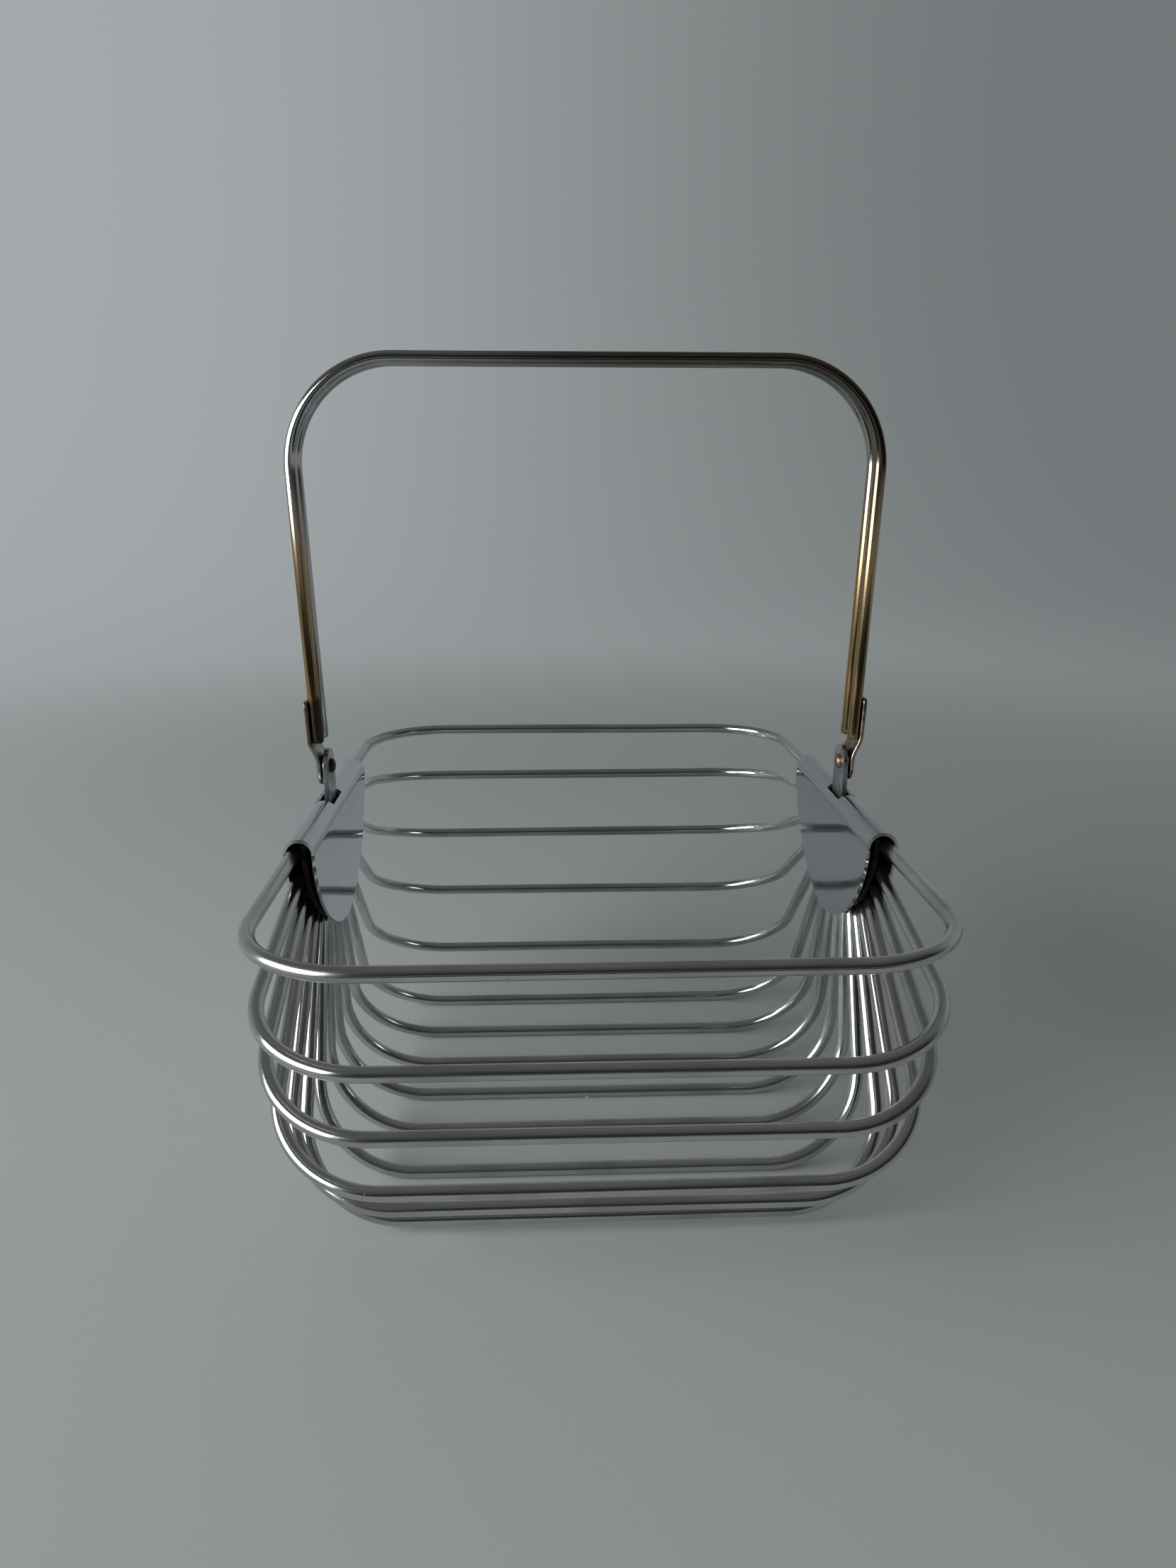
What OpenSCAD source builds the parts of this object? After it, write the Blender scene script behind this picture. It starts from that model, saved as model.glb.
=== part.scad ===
/* [Wire basket] */
// Diameter of the basket wire
wire_d = 4; // [3.5:0.1:4.5]
// Number of U-shaped bails, both rims included
bail_count = 17; // [9:2:17]
// Distance between the two arms of a bail, centre to centre
arm_span = 173; // [160:1:200]
// Distance from the hinge line to the front rim and to the rear rim
rim_reach = 123; // [115:1:140]
// Depth of the flat bottom under the rim, centre to centre
basket_depth = 107; // [95:1:115]
// Bend radius where a bail's arm turns into its crossbar
corner_r = 30; // [20:1:35]
// How far the lower front bails bulge past the rim's reach
front_bulge = 4; // [0:1:8]
// How far the lower rear bails bulge past the rim's reach
rear_bulge = 8; // [0:1:12]
// Extra angle between the front rim and the bail under it
front_gap = 1.2; // [0:0.1:1.7]
// Angle that the bail next to the rear rim is raised towards it
rear_gap = 0.6; // [0:0.1:1]
// Angle that the rear rim dips below the horizontal
rear_dip = 1.3; // [0:0.1:2]
// How much shorter than its neighbours the fifth bail is bent
bent_short = 3; // [0:0.5:4]
// Distance from the hinge line to the inner end of each arm
arm_start = 26; // [26:0.5:30]

/* [End caps] */
// Half the length of a cap along the rim
cap_half = 45.5; // [44:0.5:50]
// How far a cap's skirts hang below the rim wire
skirt_drop = 36.5; // [35:0.5:42]
// Outer width of the folded ridge
cap_w = 9.2; // [9.2:0.1:9.6]
// Thickness of the cap's sheet
cap_sheet = 1; // [0.8:0.1:1]
// Distance of the cap's middle inwards from the arms
cap_inset = 1.65; // [1.6:0.05:1.7]
// Bluntness of the skirt's outline: 2 is an ellipse
skirt_power = 1.75; // [1.5:0.05:2]

/* [Lug plates] */
// Thickness of the plate that the arms are welded to
plate_t = 1.6; // [1.2:0.1:1.6]
// Width of the lug that stands up through the ridge
lug_w = 11.5; // [10:0.5:12]
// Height of the rivet above the rim wire's middle
rivet_rise = 14.6; // [14:0.2:16]

/* [Handle] */
// Diameter of each of the two handle rods
rod_d = 3.8; // [3.4:0.1:3.8]
// Distance between the two rods, centre to centre
rod_gap = 7.4; // [6:0.2:8]
// Height of the top bar above the rim wire, centre to centre
handle_rise = 138; // [120:1:150]
// Height of the rods' lower ends above the rim wire
rod_foot = 23; // [22.5:0.5:24]
// Distance from the middle of the basket to a rod's lower end
foot_reach = 85.9; // [85.5:0.1:86.2]
// Distance from the middle to the upper corner, before it is bent round
head_reach = 89.4; // [88:0.1:91]
// Bend radius of the handle's two upper corners
head_r = 31; // [25:1:40]

/* [End fittings] */
// Width of the flat strip
strip_w = 12; // [11.5:0.5:12]
// Thickness of the flat strip
strip_t = 1.2; // [1:0.1:1.2]
// Height of the strip's upper end above the rim wire
strip_top = 36.5; // [34:0.5:45]
// Height at which the strip has finished its inward step
step_end = 17.5; // [17:0.5:18]

/* [Rivets] */
// Diameter of the rivet's shank
shank_d = 3; // [2.5:0.1:3.2]
// Diameter of the rivet's heads
head_d = 4.9; // [4.6:0.1:6]
// Height of the rivet's inner head
head_h = 1.4; // [1:0.1:1.8]
// Radial clearance of the tab and the washer on the shank
running = 0.05; // [0.02:0.01:0.08]
// Thickness of the washer between lug and tab
washer_t = 0.6; // [0.5:0.1:0.6]

/* [Hidden] */
$fn = 48;
// How deep welded pieces sink into each other
weld = 0.1;
// A bend is a hair thicker than the straight runs, which end just inside it
bend_swell = 0.04;
socket = 0.5;
rim_z = basket_depth + wire_d / 2;
hinge_z = rim_z + rivet_rise;
arm_x = arm_span / 2;
cap_x = arm_x - cap_inset;
cap_r = cap_w / 2;
ridge_axis = 0.3;
slot_half = 7.2;
slot_in = 2.9;
slot_out = 2.6;
plate_out = arm_x - wire_d / 2 + weld;
plate_in = plate_out - plate_t;
plate_margin = 2;
play = 0.05;
washer_in = plate_out + play;
tab_in = washer_in + washer_t + play;
tab_out = tab_in + strip_t;
tail_h = 1.2;
flare = atan((head_reach - foot_reach) / (handle_rise - rod_foot));
last = bail_count - 1;
handed = ["left", "right"];

// Bails are numbered from the front rim, under the basket, to the rear rim
function two_digits(n) = n < 10 ? str("0", n) : str(n);
function bail_name(i) =
    i == 0 ? "rim_bail_front" : i == last ? "rim_bail_rear" : str("bail_", two_digits(i + 1));

// Angle of a bail's plane below the horizontal, counted from the front
function bail_angle(i) = i * 180 / last + (i == 1 ? front_gap : i == last - 1 ? rear_gap : i == last ? -rear_dip : 0);
// Length of a bail: a bulging round profile, cut off by the flat bottom
function bulge(a) = (a < 90 ? front_bulge : rear_bulge) * pow(sin(2 * a), 4);
function bail_reach(i) =
    let (a = bail_angle(i), round_r = rim_reach + bulge(a) - (i == 4 ? bent_short : 0))
    sin(a) * round_r > basket_depth ? basket_depth / sin(a) : round_r;
// Distance of a handle rod from the middle at a height above the rim
function rod_x(h) = foot_reach + (h - rod_foot) * tan(flare);

// Half of the skirt's outline, from the ridge down to the tip
function skirt_point(a, half, drop) =
    [half * pow(cos(a), 2 / skirt_power), -drop * pow(sin(a), 2 / skirt_power)];

// A rod bent into an arch in the XZ plane, with its feet open
module arch(foot_half, head_half, foot, head, r, d) {
    lean = atan((head_half - foot_half) / (head - foot));
    tangent = r * tan((90 + lean) / 2);
    arm = norm([head_half - foot_half, head - foot]) - tangent;
    for (side = [0, 1]) mirror([side, 0, 0]) {
        translate([foot_half, 0, foot]) rotate([0, lean, 0]) cylinder(d = d, h = arm + socket);
        translate([head_half - tangent, 0, head - r]) rotate([90, 0, 0]) rotate([0, 0, -lean])
            rotate_extrude(angle = 90 + lean, $fn = 96) translate([r, 0]) circle(d = d + bend_swell);
    }
    bar_half = head_half - tangent + socket;
    translate([-bar_half, 0, head]) rotate([0, 90, 0]) cylinder(d = d, h = 2 * bar_half);
}

module bail(i) {
    a = bail_angle(i);
    color("silver")
        translate([0, 0, rim_z]) rotate([90 + a, 0, 0])
            arch(arm_x, arm_x, arm_start, bail_reach(i), corner_r, wire_d);
}

// Turns a YZ outline into a plate that starts at x and is t thick
module plate_yz(x, t) {
    translate([x, 0, 0]) rotate([90, 0, 90]) linear_extrude(t) children();
}

// The whole outline under the ridge, from the right end round the tip to the left end
function skirt_points(half, drop) = concat(
    [for (a = [0 : 5 : 90]) skirt_point(a, half, drop)],
    [for (a = [85 : -5 : 0]) let (p = skirt_point(a, half, drop)) [-p[0], p[1]]]
);

// One sheet folded over the rim arms: a round ridge and two hanging skirts
module fold_profile() {
    difference() {
        union() {
            circle(r = cap_r);
            translate([-cap_r, -60]) square([cap_w, 60]);
        }
        circle(r = cap_r - cap_sheet);
        translate([-cap_r + cap_sheet, -61]) square([cap_w - 2 * cap_sheet, 61]);
    }
}

module cap(side) {
    color("gainsboro") mirror([1 - side, 0, 0]) translate([0, 0, rim_z]) difference() {
        intersection() {
            translate([cap_x, cap_half, ridge_axis]) rotate([90, 0, 0])
                linear_extrude(2 * cap_half) fold_profile();
            plate_yz(cap_x - cap_w, 2 * cap_w)
                polygon(concat([[cap_half, 10]], skirt_points(cap_half, skirt_drop), [[-cap_half, 10]]));
        }
        translate([cap_x - slot_in, -slot_half, 1]) cube([slot_in + slot_out, 2 * slot_half, 9]);
    }
}

// The plate inside the cap, with the round-topped lug standing on its upper edge
module lug_outline() {
    half = cap_half - plate_margin;
    top = wire_d / 2;
    lug_r = lug_w / 2;
    lug = [for (a = [180 : -9 : 0]) [lug_r * cos(a), rivet_rise + lug_r * sin(a)]];
    polygon(concat(
        [[half, top]], skirt_points(half, skirt_drop - plate_margin),
        [[-half, top], [-lug_r, top]], lug, [[lug_r, top]]
    ));
}

module lug_plate(side) {
    color("lightgray") mirror([1 - side, 0, 0]) translate([0, 0, rim_z]) difference() {
        plate_yz(plate_in, plate_t) lug_outline();
        translate([plate_in - 1, 0, rivet_rise]) rotate([0, 90, 0]) cylinder(d = shank_d, h = plate_t + 2);
    }
}

module handle_rod(y) {
    color("tan") translate([0, y, rim_z])
        arch(foot_reach, head_reach, rod_foot, handle_rise, head_r, rod_d);
}

// Side view of the strip: flat against the rods, stepped in to a flat tab
module strip_profile() {
    lap = rod_d / 2 - weld;
    polygon([
        [rod_x(strip_top) + lap, strip_top], [rod_x(rod_foot) + lap, rod_foot],
        [tab_in, step_end], [tab_in, rivet_rise - strip_w],
        [tab_out, rivet_rise - strip_w], [tab_out, step_end],
        [rod_x(rod_foot) + lap + strip_t, rod_foot - 0.6],
        [rod_x(strip_top) + lap + strip_t, strip_top]
    ]);
}

module strip_outline() {
    translate([0, rivet_rise]) circle(d = strip_w);
    translate([-strip_w / 2, rivet_rise]) square([strip_w, strip_top - rivet_rise]);
}

module handle_end(side) {
    color("darkkhaki") mirror([1 - side, 0, 0]) translate([0, 0, rim_z]) difference() {
        intersection() {
            translate([0, strip_w, 0]) rotate([90, 0, 0]) linear_extrude(2 * strip_w) strip_profile();
            plate_yz(arm_x - 10, 20) strip_outline();
        }
        translate([tab_in - 1, 0, rivet_rise]) rotate([0, 90, 0])
            cylinder(d = shank_d + 2 * running, h = strip_t + 2);
    }
}

// Cross-section of a rivet along its axis: inner head, shank, outer head
module rivet_profile() {
    edge = head_h / 3;
    tail_start = tab_out + play;
    polygon([
        [0, plate_in - head_h], [head_d / 4, plate_in - head_h * 0.9], [head_d * 0.4, plate_in - edge * 2],
        [head_d / 2, plate_in - edge], [head_d / 2, plate_in], [shank_d / 2, plate_in],
        [shank_d / 2, tail_start], [head_d / 2, tail_start], [head_d / 2, tail_start + edge],
        [head_d * 0.4, tail_start + tail_h * 0.75], [head_d / 4, tail_start + tail_h], [0, tail_start + tail_h]
    ]);
}

module handle_rivet(side) {
    color("peru") mirror([1 - side, 0, 0]) translate([0, 0, hinge_z]) rotate([0, 90, 0])
        rotate_extrude() rivet_profile();
}

module handle_washer(side) {
    color("dimgray") mirror([1 - side, 0, 0]) translate([washer_in, 0, hinge_z]) rotate([0, 90, 0])
        difference() {
            cylinder(d = 2 * head_d - 2, h = washer_t);
            translate([0, 0, -1]) cylinder(d = shank_d + 2 * running, h = washer_t + 2);
        }
}

for (i = [0 : last]) bail(i);
for (side = [0, 1]) {
    cap(side);
    lug_plate(side);
    handle_end(side);
    handle_rivet(side);
    handle_washer(side);
}
handle_rod(-rod_gap / 2);  // handle_rod_front
handle_rod(rod_gap / 2);  // handle_rod_rear
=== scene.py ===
import math

import bpy
import numpy as np
from mathutils import Matrix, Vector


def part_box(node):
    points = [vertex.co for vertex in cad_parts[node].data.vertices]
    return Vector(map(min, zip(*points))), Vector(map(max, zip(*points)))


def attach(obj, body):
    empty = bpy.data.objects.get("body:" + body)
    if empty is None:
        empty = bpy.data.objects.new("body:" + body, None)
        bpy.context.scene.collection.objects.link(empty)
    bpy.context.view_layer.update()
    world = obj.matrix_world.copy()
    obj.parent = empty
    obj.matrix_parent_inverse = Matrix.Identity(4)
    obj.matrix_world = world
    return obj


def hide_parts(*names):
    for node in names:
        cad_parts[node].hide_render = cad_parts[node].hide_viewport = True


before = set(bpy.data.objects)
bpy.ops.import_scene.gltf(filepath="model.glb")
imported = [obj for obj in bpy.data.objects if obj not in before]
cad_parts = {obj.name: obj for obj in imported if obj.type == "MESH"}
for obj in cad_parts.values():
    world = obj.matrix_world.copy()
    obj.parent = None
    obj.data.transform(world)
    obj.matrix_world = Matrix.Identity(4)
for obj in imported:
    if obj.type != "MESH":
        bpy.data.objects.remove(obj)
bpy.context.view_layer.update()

mm = 0.001
rng = np.random.default_rng(17)
sides = {"left": -1, "right": 1}  # left is the -X side
leftToRight = (-0.01, 0.01)  # across X, where the left side's look passes into the right side's


# one output of a node; plain arithmetic on it adds Math nodes to its tree
class Field:
    def __init__(self, tree, socket):
        self.tree = tree
        self.socket = socket

    def math(self, operation, *values):
        return self.tree.node("ShaderNodeMath", {"operation": operation}, dict(enumerate(values)))

    def __add__(self, other): return self.math("ADD", self, other)
    def __radd__(self, other): return self.math("ADD", other, self)
    def __sub__(self, other): return self.math("SUBTRACT", self, other)
    def __rsub__(self, other): return self.math("SUBTRACT", other, self)
    def __mul__(self, other): return self.math("MULTIPLY", self, other)
    def __rmul__(self, other): return self.math("MULTIPLY", other, self)
    def __pow__(self, other): return self.math("POWER", self, other)
    def __rpow__(self, other): return self.math("POWER", other, self)
    def __abs__(self): return self.math("ABSOLUTE", self)

    def atLeast(self, least):
        return self.math("MAXIMUM", self, least)

    def out(self, name):
        return Field(self.tree, self.socket.node.outputs[name])


# the node tree of a material or of the world, emptied first
class ShaderTree:
    def __init__(self, owner):
        owner.use_nodes = True
        self.nodes = owner.node_tree.nodes
        self.links = owner.node_tree.links
        self.nodes.clear()

    # makes any node: its kind, then its settings, then the values or links of its sockets
    def node(self, kind, settings=None, sockets=None, output=0):
        made = self.nodes.new(kind)
        for name, value in (settings or {}).items():
            if name == "stops":  # in rising order, the first at 0 and the last at 1
                for place, _ in value[1:-1]:
                    made.color_ramp.elements.new(place)
                for stop, (place, colour) in zip(made.color_ramp.elements, value):
                    stop.position = place
                    stop.color = (*colour, 1)
            else:
                setattr(made, name, value)
        for name, value in (sockets or {}).items():
            if isinstance(value, Field):
                self.links.new(value.socket, made.inputs[name])
            elif made.inputs[name].type == "RGBA":
                made.inputs[name].default_value = (*value, 1)
            else:
                made.inputs[name].default_value = value
        return Field(self, made.outputs[output]) if len(made.outputs) else None

    def blend(self, mask, a, b):  # colours a to b
        return self.node("ShaderNodeMix", {"data_type": "RGBA"}, {0: mask, 6: a, 7: b}, 2)

    def stretch(self, vector, scale):  # a vector times three numbers
        return self.node("ShaderNodeVectorMath", {"operation": "MULTIPLY"}, {0: vector, 1: scale})

    def noise(self, vector, scale=1.0, detail=2.0, roughness=0.5):
        return self.node("ShaderNodeTexNoise", None, {
            "Vector": vector, "Scale": scale, "Detail": detail, "Roughness": roughness})

    def rise(self, value, low, high):  # 0 below low, 1 above high, smooth between
        return self.node("ShaderNodeMapRange", {"interpolation_type": "SMOOTHSTEP"},
                         {"Value": value, "From Min": low, "From Max": high})

    def objectPlace(self):
        return self.node("ShaderNodeTexCoord", output="Object")

    def rodPlace(self, scale):  # metres along a bent rod and turns around it, times two numbers
        return self.stretch(self.node("ShaderNodeUVMap", {"uv_map": "alongAround"}), (*scale, 0.0))

    def split(self, vector):
        parts = self.node("ShaderNodeSeparateXYZ", None, {0: vector})
        return [parts.out(axis) for axis in "XYZ"]

    def patches(self, whole, look):  # soft islands of wear
        return self.rise(self.noise(whole, look["patchScale"], 3), *look["patchRange"])

    def grain(self, whole, scale):  # fine lines along the axis with the lowest scale
        return self.noise(self.stretch(whole, scale), 1.0, 2, 0.6)

    def drawnLines(self, look):  # fine lines along a bent rod
        return self.noise(self.rodPlace(look["drawnScale"]), 1.0, 3, 0.6)

    def specks(self, whole, look):
        return self.rise(self.noise(whole, look["speckScale"], 2, 0.6), *look["speckRange"])

    def clusters(self, whole, look):  # where specks gather
        return self.rise(self.noise(whole, look["clusterScale"], 2), *look["clusterRange"])

    def finish(self, colour, roughness, height, bump):  # every piece of the object is bare metal
        normal = self.node("ShaderNodeBump", None, {"Strength": 1.0, "Distance": bump, "Height": height})
        shader = self.node("ShaderNodeBsdfPrincipled", None, {
            "Base Color": colour, "Metallic": 1.0, "Roughness": roughness, "Normal": normal})
        self.node("ShaderNodeOutputMaterial", None, {"Surface": shader})


def newMaterial(name):
    material = bpy.data.materials.new(name)
    return material, ShaderTree(material)


def unit(vectors):  # each divided by its length
    return vectors / np.linalg.norm(vectors, axis=-1, keepdims=True)


def distances(points):  # from the first point, along the line through them all
    return np.concatenate([[0], np.cumsum(np.linalg.norm(np.diff(points, axis=0), axis=1))])


# Skins a grid of points, rows by columns. Each face joins a point to its right, lower right and lower
# neighbours; the grid may close on itself either way, and a pole is one point that closes an end row.
def skinGrid(name, points, along, wrapColumns=True, wrapRows=False, poles=None, keep=None):
    rows, columns = points.shape[:2]
    r = np.arange(rows if wrapRows else rows - 1)[:, None]
    c = np.arange(columns if wrapColumns else columns - 1)[None, :]

    def index(row, column):
        return (row % rows) * columns + column % columns

    corner = ((r, c), (r, c + 1), (r + 1, c + 1), (r + 1, c))
    faces = np.stack([index(*k) for k in corner], -1)
    u = np.stack([along[np.minimum(k[0], rows - 1)] + 0 * k[1] for k in corner], -1)
    v = np.stack([(k[1] + 0 * k[0]) / columns for k in corner], -1)
    if keep is not None:
        faces, u, v = faces[keep], u[keep], v[keep]
    vertices = points.reshape(-1, 3)
    quads = faces.reshape(-1, 4)
    quadMap = np.stack([u, v], -1).reshape(-1, 4, 2)
    triangles = np.zeros((0, 3), int)
    triangleMap = np.zeros((0, 3, 2))
    if poles is not None:
        c = np.arange(columns)
        tip = len(vertices)
        last = (rows - 1) * columns
        vertices = np.vstack([vertices, poles])
        triangles = np.vstack([
            np.stack([tip + 0 * c, (c + 1) % columns, c], -1),
            np.stack([tip + 1 + 0 * c, last + c, last + (c + 1) % columns], -1)])
        triangleMap = np.stack([
            np.repeat([along[0], along[-1]], columns)[:, None] + np.zeros((1, 3)),
            np.tile(np.stack([c + 0.5, c, c + 1], -1) / columns, (2, 1))], -1)
    used, renumbered = np.unique(quads, return_inverse=True)
    if poles is None and len(used) < len(vertices):  # points that a cut-out leaves behind
        vertices, quads = vertices[used], renumbered.reshape(-1, 4)
    fan = np.vstack([quads[:, :3], quads[:, [0, 2, 3]], triangles])
    a, b, d = (vertices[fan[:, k]] for k in range(3))
    if np.einsum("ij,ij->", a, np.cross(b, d)) < 0:  # turned inside out
        quads, quadMap = quads[:, ::-1], quadMap[:, ::-1]
        triangles, triangleMap = triangles[:, ::-1], triangleMap[:, ::-1]
    mesh = bpy.data.meshes.new(name)
    mesh.from_pydata(vertices.tolist(), [], quads.tolist() + triangles.tolist())
    mesh.uv_layers.new(name="alongAround").data.foreach_set(
        "uv", np.concatenate([quadMap.ravel(), triangleMap.ravel()]))
    mesh.polygons.foreach_set("use_smooth", np.ones(len(mesh.polygons), bool))
    mesh.update()
    return mesh


def addToScene(name, data):
    made = bpy.data.objects.new(name, data)
    bpy.context.scene.collection.objects.link(made)
    return made


def addPiece(mesh, material, body, node):
    piece = addToScene(mesh.name, mesh)
    mesh.materials.append(material)
    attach(piece, body)
    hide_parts(node)
    return piece


def softenEdges(piece, width, angle):
    bevel = piece.modifiers.new("edge", "BEVEL")
    bevel.width = width
    bevel.segments = 2
    bevel.limit_method = "ANGLE"
    bevel.angle_limit = math.radians(angle)
    normals = piece.modifiers.new("evenShading", "WEIGHTED_NORMAL")
    normals.keep_sharp = True
    normals.weight = 90  # large faces decide the shading


def rimHeight():  # middle of the front rim's wire
    low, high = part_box("rim_bail_front")
    return (low.z + high.z) / 2


# A rod bent into an arch, in its own flat plane: a straight arm that may lean, a round corner that turns
# through a right angle plus the lean, and half of the bar; the other half is the mirror image.
def archPath(footHalf, headHalf, foot, head, cornerR, steps):
    lean = math.atan2(headHalf - footHalf, head - foot)
    tangent = cornerR * math.tan((math.pi / 2 + lean) / 2)
    turn = np.linspace(-lean, math.pi / 2, steps["corner"])
    corner = np.stack([headHalf - tangent + cornerR * np.cos(turn),
                       head - cornerR + cornerR * np.sin(turn)], -1)
    share = np.linspace(0, 1, steps["arm"], endpoint=False)[:, None]
    arm = np.array([footHalf, foot]) * (1 - share) + corner[0] * share
    share = np.linspace(0, 1, steps["bar"])[1:, None]
    bar = corner[-1] * (1 - share) + np.array([0, head]) * share
    half = np.vstack([arm, corner, bar])
    return np.vstack([half, (half * [-1, 1])[-2::-1]])


# A round rod along a path: at each place a circle square to the path. The radius is constant, but follows
# a quarter circle at both ends, so that the cut ends are flat with a rounded edge.
def sweepRod(name, path, flat, radius, look):
    edge = look["cutEdge"]
    length = distances(path)
    quarter = np.linspace(0, math.pi / 2, look["steps"]["edge"])
    inset = edge * (1 - np.cos(quarter))
    clear = 1.5 * edge  # no other ring comes this close to a cut end
    inside = length[(length > clear) & (length < length[-1] - clear)]
    stations = np.concatenate([inset, inside, (length[-1] - inset)[::-1]])
    endRadius = radius - edge + edge * np.sin(quarter)
    radii = np.concatenate([endRadius, np.full(len(inside), radius), endRadius[::-1]])
    slope = unit(np.gradient(path, length, axis=0))
    centre = np.stack([np.interp(stations, length, path[:, k]) for k in range(3)], -1)
    slope = unit(np.stack([np.interp(stations, length, slope[:, k]) for k in range(3)], -1))
    across = unit(np.cross(slope, flat))
    upward = np.cross(across, slope)
    turn = np.linspace(0, 2 * math.pi, look["steps"]["around"], endpoint=False)[None, :, None]
    rings = centre[:, None] + radii[:, None, None] * (
        np.cos(turn) * across[:, None] + np.sin(turn) * upward[:, None])
    return skinGrid(name, rings, stations, poles=centre[[0, -1]])


sway = {
    "waves": [1, 2.3, 3.7],  # over the whole rod
    "shares": [0.6, 0.3, 0.15],
    "fade": 6,  # a sixth of the rod at each end
}


# A slow random waviness along a rod: three sine waves with random starts, faded out at both ends
def waviness(count, size):
    t = np.linspace(0, 1, count)
    start = rng.uniform(0, 2 * math.pi, len(sway["waves"]))
    waves = np.sin(2 * math.pi * np.outer(t, sway["waves"]) + start) @ sway["shares"]
    return size * waves * np.clip(np.minimum(t, 1 - t) * sway["fade"], 0, 1) ** 2


# A profile of distances along X and radii, turned about the hinge line. A wobble scales the radius by one
# plus a sine of two waves and a smaller one of five.
def turned(name, axial, radial, hinge, around, wobble=0.0, poles=True):
    hingeY, hingeZ = hinge
    turn = np.linspace(0, 2 * math.pi, around, endpoint=False)[None, :]
    radius = radial[:, None] * (1 + wobble * (np.sin(2 * turn) + 0.6 * np.sin(5 * turn + 1)))
    points = np.stack([axial[:, None] + 0 * turn,
                       hingeY + radius * np.cos(turn),
                       hingeZ + radius * np.sin(turn)], -1)
    along = distances(np.stack([axial, radial], -1))
    if not poles:
        return skinGrid(name, points, along, wrapRows=True)
    tips = np.array([[axial[k], hingeY, hingeZ] for k in (0, -1)])
    return skinGrid(name, points[1:-1], along[1:-1], poles=tips)


wire = {
    "cornerR": 30 * mm,
    "cutEdge": 0.5 * mm,
    "swell": 0.02 * mm,  # the frame's bends are fatter by this
    "unevenness": 0.22 * mm,
    "steps": {"arm": 16, "corner": 26, "bar": 14, "edge": 6, "around": 28},
}
wireNodes = ["rim_bail_front"] + [f"bail_{n:02d}" for n in range(2, 17)] + ["rim_bail_rear"]

wireLook = {
    "clean": (0.60, 0.61, 0.61),
    "dull": (0.41, 0.41, 0.40),
    "speck": (0.16, 0.10, 0.06),
    "patchScale": 38,
    "patchRange": (0.42, 0.72),
    "drawnScale": (60, 46),  # along the wire, around it
    "speckScale": 900,
    "speckRange": (0.70, 0.78),
    "clusterScale": 55,
    "clusterRange": (0.5, 0.66),
    "share": {"patches": 0.7, "drawn": 0.3, "specks": 0.8},  # of each layer in the colour
    "roughness": (0.13, 0.22),  # clean, dull
    "rougher": {"drawn": 0.06, "specks": 0.3},  # what each layer adds
    "drawnHeight": 0.4,  # share of the bump; the specks are pits of its whole depth
    "bump": 0.02 * mm,
}


def wireMaterial(look):
    material, tree = newMaterial("wornChrome")
    share, rougher = look["share"], look["rougher"]
    whole = tree.objectPlace()
    patches = tree.patches(whole, look)
    drawn = tree.drawnLines(look)
    specks = tree.specks(whole, look) * tree.clusters(whole, look)
    colour = tree.blend(patches * share["patches"] + drawn * share["drawn"], look["clean"], look["dull"])
    colour = tree.blend(specks * share["specks"], colour, look["speck"])
    low, high = look["roughness"]
    roughness = low + (high - low) * patches + drawn * rougher["drawn"] + specks * rougher["specks"]
    tree.finish(colour, roughness, drawn * look["drawnHeight"] - specks, look["bump"])
    return material


def buildWires():
    material = wireMaterial(wireLook)
    low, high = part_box(wireNodes[0])
    radius = (high.z - low.z) / 2 - wire["swell"]
    bendR = radius + wire["swell"]
    rimZ = rimHeight()
    armX = high.x - radius - wire["swell"]
    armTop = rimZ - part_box("bail_09")[1].z
    for number, node in enumerate(wireNodes):
        low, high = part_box(node)
        barY = low.y + bendR if -low.y > high.y else high.y - bendR
        barZ = low.z + bendR
        reach = math.hypot(barY, barZ - rimZ)
        outward = np.array([0, barY, barZ - rimZ]) / reach
        flat = np.cross([1, 0, 0], outward)
        arch = archPath(armX, armX, armTop, reach, wire["cornerR"], wire["steps"])
        inPlane, offPlane = (waviness(len(arch), wire["unevenness"]) for _ in range(2))
        path = (np.array([0, 0, rimZ]) + arch[:, :1] * [1, 0, 0]
                + (arch[:, 1:] - abs(inPlane)[:, None]) * outward + offPlane[:, None] * flat)
        mesh = sweepRod(f"wire_{number + 1:02d}", path, flat, radius, wire)
        addPiece(mesh, material, "basket", node)
    print("basket wires:", len(wireNodes))


cap = {
    "sheet": 1.0 * mm,
    "power": 1.75,  # bluntness of the skirts' outline; 2 is an ellipse
    "slotHalf": 7.2 * mm,
    "slotIn": 2.9 * mm,
    "slotOut": 2.6 * mm,
    "nearSlot": 0.4 * mm,  # the outline's points keep this far from the slot's ends
    "edge": 0.22 * mm,
    "edgeAngle": 50,  # degrees
    "buckle": {"size": 0.10 * mm, "waves": 4, "shift": 1.3},
    "steps": {"outline": 26, "slot": 7, "bend": 7, "slotBend": 11, "skirt": 14},
}

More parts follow.
